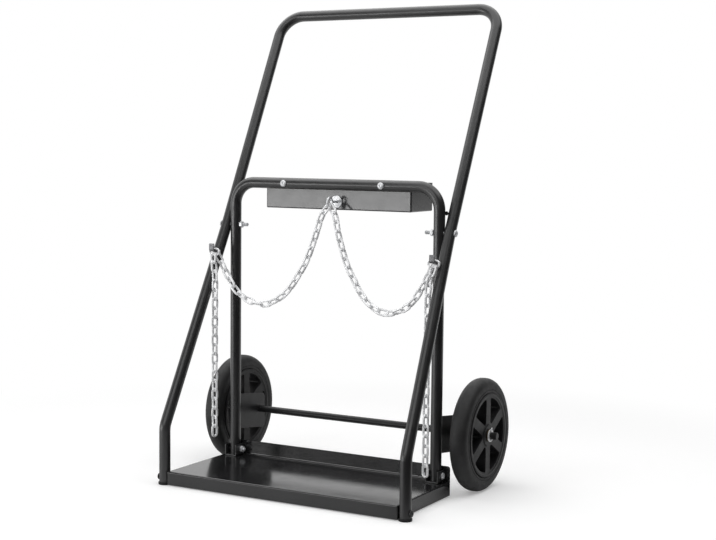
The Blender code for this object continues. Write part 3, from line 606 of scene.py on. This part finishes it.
def makeBolts(b):
    for side, sign in sides.items():
        turn = alongX if sign > 0 else Matrix.Rotation(math.pi, 4, "Z") @ alongX
        for name, finish, slot in (("frame", zinc, "zinc"), ("leg", zinc, "zinc"),
                                   ("foot", paint, "powder_coat")):
            low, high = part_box(f"{name}_bolt_{side}")
            mid = (low + high) / 2
            outer = (high.x if sign > 0 else -low.x) - b["headHeight"]
            length = high.x - low.x - b["headHeight"]
            makeBolt(f"{name}Bolt.{side}", f"{name}_bolt_{side}", length, b["threaded"][name],
                     Matrix.Translation((sign * outer, mid.y, mid.z)) @ turn, finish, b)
            spot = middleOf(f"{name}_nut_{side}")
            makeNut(f"{name}Nut.{side}", f"{name}_nut_{side}", b["nutWidth"], b["nutHeight"],
                    b["diameter"] / 2 + b["boreGap"], Matrix.Translation(spot) @ turn)
        low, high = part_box(f"tray_bolt_{side}")
        mid = (low + high) / 2
        length = high.y - low.y - b["headHeight"]
        makeBolt(f"trayBolt.{side}", f"tray_bolt_{side}", length, b["threaded"]["tray"],
                 Matrix.Translation((mid.x, low.y + b["headHeight"], mid.z)) @ alongFront, zinc, b)
        spot = middleOf(f"tray_nut_{side}")
        makeNut(f"trayNut.{side}", f"tray_nut_{side}", b["nutWidth"], b["nutHeight"],
                b["diameter"] / 2 + b["boreGap"], Matrix.Translation(spot) @ alongFront)


makeBolts(bolts)
print("bolts and nuts turned")


# Eye bolt, with its washer and nut on the tray's front wall

eye = {"bore": 0.014, "wire": 0.0055, "ringSteps": 48, "wireSteps": 16, "nutWidth": 0.010, "nutHeight": 0.005,
       "threads": 11, "threadRun": 0.0178, "thread": 0.001, "groove": 0.0003, "crest": 0.0008,
       "threadDepth": 0.0005, "tip": 0.0006, "washerSteps": 48, "washerGap": 0.0003, "washerEdge": 0.0003,
       "nutGap": 0.00015}


def makeEye(e):
    low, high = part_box("eye_bolt")
    reach = (e["bore"] + e["wire"]) / 2
    wire = e["wire"] / 2
    centre = Vector((0, low.y + reach + wire, (low.z + high.z) / 2))
    bm = bmesh.new()
    verts = bmesh.ops.create_circle(bm, segments=e["wireSteps"], radius=wire,
                                    matrix=Matrix.Translation((reach, 0, 0)) @ alongFront)["verts"]
    bmesh.ops.spin(bm, geom=verts + ringEdges(verts), cent=(0, 0, 0), axis=(0, 0, 1), angle=math.tau,
                   steps=e["ringSteps"], use_merge=True)
    bmesh.ops.transform(bm, matrix=Matrix.Translation(centre) @ inYZ, verts=bm.verts)
    end = high.y - centre.y - reach
    shank = [(0, -wire), (wire, -wire), (wire, end - e["threadRun"])]
    for i in range(e["threads"]):
        start = end - e["threadRun"] + i * e["thread"]
        shank += [(wire - e["threadDepth"], start + e["groove"]), (wire, start + e["crest"])]
    shank += [(wire - e["tip"], end), (0, end)]
    turnProfile(bm, shank, e["wireSteps"], Matrix.Translation(centre + Vector((0, reach, 0)))
                @ Matrix.Rotation(-math.pi / 2, 4, "X"))
    endPiece(bm, "eyeBolt", zinc, ["eye_bolt"])
    low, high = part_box("eye_washer")
    mid = (low + high) / 2
    bm = bmesh.new()
    ring = ringProfile(wire + e["washerGap"], (high.x - low.x) / 2, low.y - mid.y, high.y - mid.y,
                       e["washerEdge"])
    turnProfile(bm, ring, e["washerSteps"], Matrix.Translation(mid) @ alongFront, closed=True)
    endPiece(bm, "eyeWasher", zinc, ["eye_washer"])
    makeNut("eyeNut", "eye_nut", e["nutWidth"], e["nutHeight"], wire + e["nutGap"],
            Matrix.Translation(middleOf("eye_nut")) @ alongFront)


makeEye(eye)
print("eye bolt made")


# Chain hooks: flat strips, turned up at the end

hook = {"sheet": 0.003, "bend": 0.006, "bendSteps": 8, "edge": 0.0005}


def makeHook(side, h):
    low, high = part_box(f"chain_hook_{side}")
    bend, sheet, steps = h["bend"], h["sheet"], h["bendSteps"]
    centre = (low.y + bend, low.z + bend)
    outline = [(high.y, low.z + sheet), (high.y, low.z), *arcPoints(centre, bend, -90, -180, steps),
               (low.y, high.z), (low.y + sheet, high.z), *arcPoints(centre, bend - sheet, -180, -90, steps)]
    bm = bmesh.new()
    plate(bm, outline, high.x - low.x, Matrix.Translation(((low.x + high.x) / 2, 0, 0)) @ inYZ)
    endPiece(bm, f"chainHook.{side}", steel, [f"chain_hook_{side}"], edge=h["edge"])


# Clevis brackets under the rear legs

clevis = {"sheet": 0.003, "fold": 0.0036, "foldSteps": 4, "edge": 0.0005}


def makeClevis(side, c):
    low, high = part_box(f"leg_clevis_{side}")
    bm = bmesh.new()
    corners = [(low.x, high.z), (low.x, low.z), (high.x, low.z), (high.x, high.z)]
    line = [bm.verts.new((x, low.y, z)) for x, z in corners]
    edges = [bm.edges.new(pair) for pair in zip(line, line[1:])]
    made = bmesh.ops.extrude_edge_only(bm, edges=edges)["geom"]
    bmesh.ops.translate(bm, verts=vertsOf(made), vec=(0, high.y - low.y, 0))
    bmesh.ops.recalc_face_normals(bm, faces=bm.faces)
    roundOff(bm, [e for e in bm.edges if not e.is_boundary], c["fold"], c["foldSteps"])
    endPiece(bm, f"legClevis.{side}", paint, [f"leg_clevis_{side}"], wall=c["sheet"],
             edge=c["edge"])


# Plastic caps in the feet of the front legs

footCap = {"round": 0.0015, "cut": 0.3, "lip": 0.5, "steps": 48, "gap": 0.0003, "clearance": 0.0004}


def makeFootCap(side, c):
    low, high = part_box(f"foot_cap_{side}")
    sign = sides[side]
    t = frameTubes
    rim = (high.y - low.y) / 2
    x, y = sign * t["frontX"], (low.y + high.y) / 2
    inner = t["radius"] - t["wall"] - c["clearance"]
    foot = t["foot"] - c["gap"]
    r = c["round"]
    cut, lip = r * c["cut"], r * c["lip"]
    profile = [(0, 0), (rim - r, 0), (rim - cut, cut), (rim, r), (rim, foot - lip), (rim - lip, foot),
               (inner, foot), (inner, high.z), (0, high.z)]
    bm = bmesh.new()
    turnProfile(bm, profile, c["steps"], Matrix.Translation((x, y, 0)))
    edge = low.x if sign > 0 else high.x
    bmesh.ops.bisect_plane(bm, geom=bm.verts[:] + bm.edges[:] + bm.faces[:], plane_co=(edge, 0, 0),
                           plane_no=(-sign, 0, 0), clear_outer=True)
    capHoles(bm)
    endPiece(bm, f"footCap.{side}", plastic, [f"foot_cap_{side}"])


# Stops between the rear legs and the handle

stopStud = {"diameter": 0.009, "steps": 28, "round": 0.0006, "endReach": 1.02}


def makeStop(side, s):
    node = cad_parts[f"frame_stop_{side}"]
    low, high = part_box(f"frame_stop_{side}")
    middle = (low + high) / 2
    radius = s["diameter"] / 2
    ends = [v.co for v in node.data.vertices]
    far = max(ends, key=lambda p: p.y)
    upper = [p for p in ends if (p - far).length < s["diameter"] * s["endReach"]]
    top = sum(upper, Vector()) / len(upper)
    half = (top - middle).length
    aim = (top - middle).normalized()
    r = s["round"]
    profile = [(0, -half), (radius - r, -half), (radius, r - half), (radius, half - r), (radius - r, half),
               (0, half)]
    bm = bmesh.new()
    turn = Vector((0, 0, 1)).rotation_difference(aim).to_matrix().to_4x4()
    turnProfile(bm, profile, s["steps"], Matrix.Translation(middle) @ turn)
    endPiece(bm, f"frameStop.{side}", paint, [f"frame_stop_{side}"])


# Axle, and the plates that carry it

axleSet = {"radius": 0.008, "steps": 56, "chamfer": 0.0012, "bracketSheet": 0.004, "bracketHeight": 0.082,
           "margin": 0.020, "tailDrop": 0.012, "legRise": 0.008, "corner": 0.012, "cornerSteps": 8,
           "edge": 0.0005, "ringGap": 0.0003, "ringEdge": 0.0004}


def makeBracket(side, a):
    low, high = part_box(f"axle_bracket_{side}")
    x = (low.x + high.x) / 2
    half, c, steps = a["bracketHeight"] / 2, a["corner"], a["cornerSteps"]
    mid = axleAt.z + a["legRise"]
    tail = mid - a["tailDrop"]
    rear = axleAt.y + a["margin"]
    outline = [(low.y, mid - half), *arcPoints((rear - c, tail - half + c), c, -90, 0, steps),
               *arcPoints((rear - c, tail + half - c), c, 0, 90, steps), (low.y, mid + half)]
    bm = bmesh.new()
    plate(bm, outline, a["bracketSheet"], Matrix.Translation((x, 0, 0)) @ inYZ)
    endPiece(bm, f"axleBracket.{side}", platePaint, [f"axle_bracket_{side}"],
             edge=a["edge"])


def makeAxle(a):
    low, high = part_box("axle")
    half, r, c = high.x, a["radius"], a["chamfer"]
    bm = bmesh.new()
    turnProfile(bm, [(0, -half), (r - c, -half), (r, c - half), (r, half - c), (r - c, half), (0, half)],
                a["steps"], Matrix.Translation(axleAt) @ alongX)
    endPiece(bm, "axleRod", platePaint, ["axle"])
    for side in sides:
        for name, slot, material, label in (("axle_spacer", "powder_coat", paint, "axleSpacer"),
                                            ("axle_washer", "zinc", linkZinc, "axleWasher")):
            low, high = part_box(f"{name}_{side}")
            mid = (low + high) / 2
            size = (high.z - low.z) / 2
            bm = bmesh.new()
            ring = ringProfile(r + a["ringGap"], size, low.x - mid.x, high.x - mid.x, a["ringEdge"])
            turnProfile(bm, ring, a["steps"], Matrix.Translation((mid.x, axleAt.y, axleAt.z)) @ alongX,
                        closed=True)
            endPiece(bm, f"{label}.{side}", material, [f"{name}_{side}"])


# Split pins: a folded wire with a ring at the top, its legs through the axle and bent apart

splitPin = {"wire": 0.0015, "ring": 12, "step": 15, "eye": 0.0034, "spread": 0.0052, "leg": 0.0008,
            "neckRise": 0.0105, "tipRise": 0.0016, "shoulderRise": 0.0022, "footBend": 0.0008,
            "neckBend": 0.0006, "shoulderBend": 0.0020, "eyeBend": 0.93}


def makeSplitPin(side, s):
    low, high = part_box(f"split_pin_{side}")
    x = (low.x + high.x) / 2
    y, top = axleAt.y, high.z - s["wire"] / 2
    foot = low.z + s["wire"] / 2
    neck = axleAt.z + s["neckRise"]
    e = s["eye"]
    leg = [(s["spread"], foot + s["tipRise"], 0), (s["leg"], foot, s["footBend"]),
           (s["leg"], neck, s["neckBend"]), (e, neck + s["shoulderRise"], s["shoulderBend"]),
           (e, top, e * s["eyeBend"])]
    route = [((x, y - reach, z), bend) for reach, z, bend in leg]
    route += [((x, y + reach, z), bend) for reach, z, bend in reversed(leg)]
    bm = bmesh.new()
    bendTube(bm, route, s["wire"] / 2, s["ring"], s["step"])
    capHoles(bm)
    endPiece(bm, f"splitPin.{side}", linkZinc, [f"split_pin_{side}"])


makeAxle(axleSet)
for side in sides:
    makeHook(side, hook)
    makeClevis(side, clevis)
    makeFootCap(side, footCap)
    makeStop(side, stopStud)
    makeBracket(side, axleSet)
    makeSplitPin(side, splitPin)
print("axle, brackets, hooks and caps made")


# Wheels: a rubber tyre on a moulded hub with six windows, turning on two flanged bushes

# The points of the sidewall and of the rim's foot are a rise from the seat and a depth below the side face
wheel = {"radius": 0.125, "tyreDepth": 0.032, "tyreWidth": 0.040, "shoulder": 0.015, "steps": 96,
         "seatGap": 0.0003, "shoulderTurns": (90, 72, 54, 36, 20, 8), "shoulderDrop": 0.0006,
         "sidewall": [(0, 0.0016), (0.0012, 0.0004), (0.005, 0.0002), (0.0062, 0.0011), (0.0072, 0.0011),
                      (0.0084, 0)],
         "treadDrop": 0.0002, "treadShare": 0.30, "treadFlat": 0.0006,
         "rimWidth": 0.042, "rimDepth": 0.007, "rimFoot": [(0.0006, 0.0004), (0.0016, 0)], "rimLip": 0.0012,
         "web": 0.040, "hubLength": 0.044, "boss": 0.050, "bossSteps": 48, "bossDraft": 0.0002, "bead": 0.0009,
         "spokes": 6, "spokeWidth": 0.023, "margin": 0.004, "windowSteps": (10, 4), "windowRound": 0.004,
         "roundSteps": 4, "near": 0.00001, "wallReach": 0.0006, "noArea": 1e-12, "edge": 0.0007}
bush = {"bore": 0.0085, "wall": 0.002, "length": 0.018, "flange": 0.002, "flangeRise": 0.003, "steps": 56,
        "hubGap": 0.0004, "faceGap": 0.0003, "edge": 0.0004}


def tyreProfile(w):
    half, r, s = w["tyreWidth"] / 2, w["radius"], w["shoulder"]
    seat = r - w["tyreDepth"] + w["seatGap"]
    upper = [(seat + rise, half - depth) for rise, depth in w["sidewall"]]
    for a in w["shoulderTurns"]:
        turn = math.radians(a)
        upper.append((r - w["shoulderDrop"] - s + s * math.cos(turn), half - s + s * math.sin(turn)))
    upper += [(r - w["treadDrop"], half * w["treadShare"]), (r, w["treadFlat"])]
    return upper + [(r, 0)] + [(x, -y) for x, y in reversed(upper)]


def windowOutline(w, turn):
    low = w["boss"] / 2 + w["margin"]
    high = w["radius"] - w["tyreDepth"] - w["rimDepth"] - w["margin"]
    half = 180 / w["spokes"]
    lowHalf = half - math.degrees(math.asin(w["spokeWidth"] / 2 / low))
    highHalf = half - math.degrees(math.asin(w["spokeWidth"] / 2 / high))
    highSteps, lowSteps = w["windowSteps"]
    outer = arcPoints((0, 0), high, turn - highHalf, turn + highHalf, highSteps)
    inner = arcPoints((0, 0), low, turn + lowHalf, turn - lowHalf, lowSteps)
    return outer, inner


def addLoop(bm, points):
    verts = [bm.verts.new((x, y, 0)) for x, y in points]
    for a, b in zip(verts, verts[1:] + verts[:1]):
        bm.edges.new((a, b))
    return verts


def addRound(bm, radius, steps):
    addLoop(bm, arcPoints((0, 0), radius, 0, 360 - 360 / steps, steps - 1))


def makeHub(side, w, place):
    half = w["web"] / 2
    boss, rim = w["boss"] / 2, w["radius"] - w["tyreDepth"]
    inner = rim - w["rimDepth"]
    bm = bmesh.new()
    addRound(bm, inner, w["steps"])
    addRound(bm, boss, w["bossSteps"])
    for i in range(w["spokes"]):
        outer, low = windowOutline(w, i * 360 / w["spokes"])
        ends = [Vector(p) for p in (outer[0], outer[-1], low[0], low[-1])]
        corners = [v for v in addLoop(bm, outer + low)
                   if any((v.co.xy - p).length < w["near"] for p in ends)]
        roundOff(bm, corners, w["windowRound"], w["roundSteps"], affect="VERTICES")
    bmesh.ops.triangle_fill(bm, use_beauty=True, use_dissolve=False, edges=bm.edges[:])
    top = vertsOf(bmesh.ops.extrude_face_region(bm, geom=bm.faces[:])["geom"])
    bmesh.ops.translate(bm, verts=[v for v in bm.verts if v not in set(top)], vec=(0, 0, -half))
    bmesh.ops.translate(bm, verts=top, vec=(0, 0, half))
    walls = [f for f in bm.faces if abs(f.normal.z) < 0.5 or f.calc_area() < w["noArea"]]
    rounds = [f for f in walls if any(abs(f.calc_center_median().xy.length - r) < w["wallReach"]
                                      for r in (inner, boss))]
    bmesh.ops.delete(bm, geom=rounds, context="FACES")  # the rim and the boss close these
    rimHalf, length = w["rimWidth"] / 2, w["hubLength"] / 2
    lip, e = w["rimLip"], w["bead"]
    rimSide = [(inner, half), *[(inner + rise, rimHalf - depth) for rise, depth in w["rimFoot"]],
               (rim - lip, rimHalf), (rim, rimHalf - lip)]
    turnProfile(bm, rimSide + [(r, -z) for r, z in reversed(rimSide)], w["steps"], Matrix.Identity(4))
    bore = bush["bore"] + bush["wall"] + bush["hubGap"]
    bossSide = [(boss, half), (boss - w["bossDraft"], length - e), (boss - e, length), (bore + e, length),
                (bore, length - e)]
    turnProfile(bm, bossSide + [(r, -z) for r, z in reversed(bossSide)], w["bossSteps"], Matrix.Identity(4))
    bmesh.ops.transform(bm, matrix=place, verts=bm.verts)
    endPiece(bm, f"wheelHub.{side}", plastic, [f"wheel_hub_{side}"], body=f"wheel_{side}",
             edge=w["edge"], sharp=50)


def makeWheel(side, w, b):
    sign = sides[side]
    low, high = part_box(f"tyre_{side}")
    place = Matrix.Translation(((low.x + high.x) / 2, axleAt.y, axleAt.z)) @ inYZ
    bm = bmesh.new()
    turnProfile(bm, tyreProfile(w), w["steps"], place, closed=True)
    endPiece(bm, f"tyre.{side}", rubber, [f"tyre_{side}"], body=f"wheel_{side}")
    makeHub(side, w, place)
    bore, edge = b["bore"], b["edge"]
    outer = bore + b["wall"]
    flange = outer + b["flangeRise"]
    face = w["hubLength"] / 2 + b["faceGap"]
    front, back = face + b["flange"], face - b["length"]
    profile = [(bore, front - edge), (bore + edge, front), (flange - edge, front), (flange, front - edge),
               (flange, face), (outer, face), (outer, back), (bore, back)]
    for name, turn in (("outer", 0 if sign > 0 else math.pi), ("inner", math.pi if sign > 0 else 0)):
        bm = bmesh.new()
        turnProfile(bm, profile, b["steps"], place @ Matrix.Rotation(turn, 4, "X"), closed=True)
        endPiece(bm, f"hubBush.{name}.{side}", bronze, [f"hub_bush_{name}_{side}"],
                 body=f"wheel_{side}")


for side in sides:
    makeWheel(side, wheel, bush)
print("wheels made")


# Floor, backdrop and light

studio = {"floorSize": 14, "floorSteps": 96, "floorColour": (0.80, 0.80, 0.80), "fade": (0.85, 1.5),
          "floorGlow": 0.265, "darkFloor": (0.05, 0.05, 0.05), "sweepEdge": (-0.62, -0.30),
          "ambient": 0.18, "back": (-0.75, 0.66, 0.0), "backEdge": (0.10, 0.55), "room": 0.06,
          "key": {"place": (-2.3, -2.9, 0.34), "aim": (0, 0, 0.34), "size": (2.6, 0.64), "power": 31},
          "fill": {"place": (-0.2, -2.7, 1.9), "aim": (0, 0, 0.6), "size": (2.4, 2.0), "power": 26},
          "top": {"place": (0, 0.2, 2.4), "aim": (0, 0.2, 0), "size": (4.6, 2.8), "power": 72}}


def addSteps(tree, source, low, high):
    step = tree.nodes.new("ShaderNodeMapRange")
    step.interpolation_type = "SMOOTHSTEP"
    step.inputs["From Min"].default_value = low
    step.inputs["From Max"].default_value = high
    tree.links.new(source, step.inputs["Value"])
    return step


def addSpan(tree, source, operation, vector=None):
    span = tree.nodes.new("ShaderNodeVectorMath")
    span.operation = operation
    tree.links.new(source, span.inputs[0])
    if vector:
        span.inputs[1].default_value = vector
    return span.outputs["Value"]


def addMath(tree, operation, first, second):
    step = tree.nodes.new("ShaderNodeMath")
    step.operation = operation
    tree.links.new(first, step.inputs[0])
    tree.links.new(second, step.inputs[1])
    return step.outputs["Value"]


def mirrorRays(tree):
    # On for what shows in a shiny or clear piece, and off for the light that falls on it
    rays = tree.nodes.new("ShaderNodeLightPath").outputs
    return addMath(tree, "MAXIMUM", rays["Is Glossy Ray"], rays["Is Transmission Ray"])


def addShaders(tree, kind, first, second):
    both = tree.nodes.new(kind)
    tree.links.new(first, both.inputs[-2])
    tree.links.new(second, both.inputs[-1])
    return both


def makeFloor(s):
    bm = bmesh.new()
    bmesh.ops.create_circle(bm, cap_ends=True, segments=s["floorSteps"], radius=s["floorSize"])
    mesh = bpy.data.meshes.new("floor")
    bm.to_mesh(mesh)
    bm.free()
    floor = bpy.data.objects.new("floor", mesh)
    bpy.context.scene.collection.objects.link(floor)
    material, tree, shader = startMaterial("paleFloor")
    tree.nodes.remove(shader)
    add, links = tree.nodes.new, tree.links.new
    place = add("ShaderNodeTexCoord").outputs["Object"]
    fade = addSteps(tree, addSpan(tree, place, "LENGTH"), *s["fade"]).outputs["Result"]
    sweep = addSteps(tree, addSpan(tree, place, "DOT_PRODUCT", s["back"]), *s["sweepEdge"]).outputs["Result"]
    white = add("ShaderNodeEmission").outputs[0]
    glow = add("ShaderNodeEmission")
    glow.inputs["Strength"].default_value = s["floorGlow"]
    # Seen by the camera: pale all over, and plain white farther out
    pale = add("ShaderNodeBsdfDiffuse")
    pale.inputs["Color"].default_value = (*s["floorColour"], 1)
    near = addShaders(tree, "ShaderNodeAddShader", pale.outputs[0], glow.outputs[0])
    seen = addShaders(tree, "ShaderNodeMixShader", near.outputs[0], white)
    links(fade, seen.inputs["Fac"])
    # Seen in reflections: a pale sweep that ends in front of the cart
    cloth = add("ShaderNodeBsdfDiffuse")
    links(addRamp(tree, sweep, s["darkFloor"], s["floorColour"], 0, 1), cloth.inputs["Color"])
    far = addMath(tree, "MULTIPLY", addMath(tree, "MULTIPLY", fade, sweep), mirrorRays(tree))
    reflected = addShaders(tree, "ShaderNodeMixShader", cloth.outputs[0], white)
    links(far, reflected.inputs["Fac"])
    both = addShaders(tree, "ShaderNodeMixShader", reflected.outputs[0], seen.outputs[0])
    links(add("ShaderNodeLightPath").outputs["Is Camera Ray"], both.inputs["Fac"])
    links(both.outputs[0], tree.nodes["Material Output"].inputs["Surface"])
    mesh.materials.append(material)


def makeWorld(s):
    world = bpy.data.worlds.new("studioWorld")
    bpy.context.scene.world = world
    world.use_nodes = True
    tree = world.node_tree
    light = tree.nodes["Background"]
    light.inputs["Color"].default_value = (1, 1, 1, 1)
    add, links = tree.nodes.new, tree.links.new
    # Metal and paint see a white backdrop, and a darker room behind the camera
    way = add("ShaderNodeTexCoord").outputs["Generated"]
    room = addSteps(tree, addSpan(tree, way, "DOT_PRODUCT", s["back"]), *s["backEdge"])
    room.inputs["To Min"].default_value = s["room"]
    shine, view = add("ShaderNodeMix"), add("ShaderNodeMix")
    shine.inputs["A"].default_value = s["ambient"]
    view.inputs["B"].default_value = 1
    links(mirrorRays(tree), shine.inputs["Factor"])
    links(room.outputs["Result"], shine.inputs["B"])
    links(add("ShaderNodeLightPath").outputs["Is Camera Ray"], view.inputs["Factor"])
    links(shine.outputs["Result"], view.inputs["A"])
    links(view.outputs["Result"], light.inputs["Strength"])


def makeLamp(name, p):
    data = bpy.data.lights.new(name, "AREA")
    data.shape = "RECTANGLE"
    data.size, data.size_y = p["size"]
    data.energy = p["power"]
    lamp = bpy.data.objects.new(name, data)
    aim = Vector(p["aim"]) - Vector(p["place"])
    turn = aim.to_track_quat("-Z", "Y").to_matrix().to_4x4()
    lamp.matrix_world = Matrix.Translation(p["place"]) @ turn
    bpy.context.scene.collection.objects.link(lamp)


makeFloor(studio)
makeWorld(studio)
for name in ("key", "fill", "top"):
    makeLamp(name, studio[name])
bpy.context.scene.view_settings.view_transform = "Standard"
print("studio lit")
